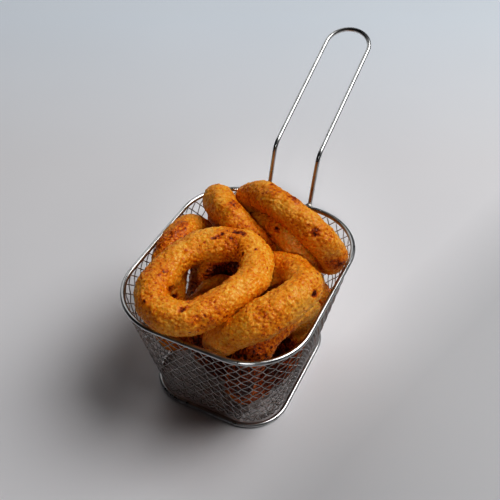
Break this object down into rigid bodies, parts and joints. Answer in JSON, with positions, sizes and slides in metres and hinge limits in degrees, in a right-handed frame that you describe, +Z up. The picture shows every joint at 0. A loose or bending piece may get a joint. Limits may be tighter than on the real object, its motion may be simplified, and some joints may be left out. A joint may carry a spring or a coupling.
{
  "type": "onion rings in a wire basket",
  "caption": "Heap of breaded fried onion rings in a small tapered wire mesh serving basket with a looped wire handle.",
  "frame": {"origin": "on the ground under the middle of the whole object's box, between the basket and the end of its handle", "axes": "+Z up, +Y from the basket towards the end of the handle, +X to the right of someone who looks along +Y"},
  "size_m": [0.0924, 0.1982, 0.125],
  "materials": {
    "frame_wire": "polished stainless wire",
    "mesh_wire": "fine woven stainless wire",
    "crust": "golden fried crumb crust"
  },
  "bodies": {
    "root": {"rim_wire": "frame_wire", "foot_wire": "frame_wire", "handle_wire": "frame_wire", "wire_mesh": "mesh_wire", "ring_front": "crust", "ring_right_front": "crust", "ring_right_wall": "crust", "ring_middle": "crust", "ring_back": "crust", "ring_back_low": "crust", "ring_left_back": "crust", "ring_front_low": "crust", "ring_rear_floor": "crust"}
  },
  "joints": []
}
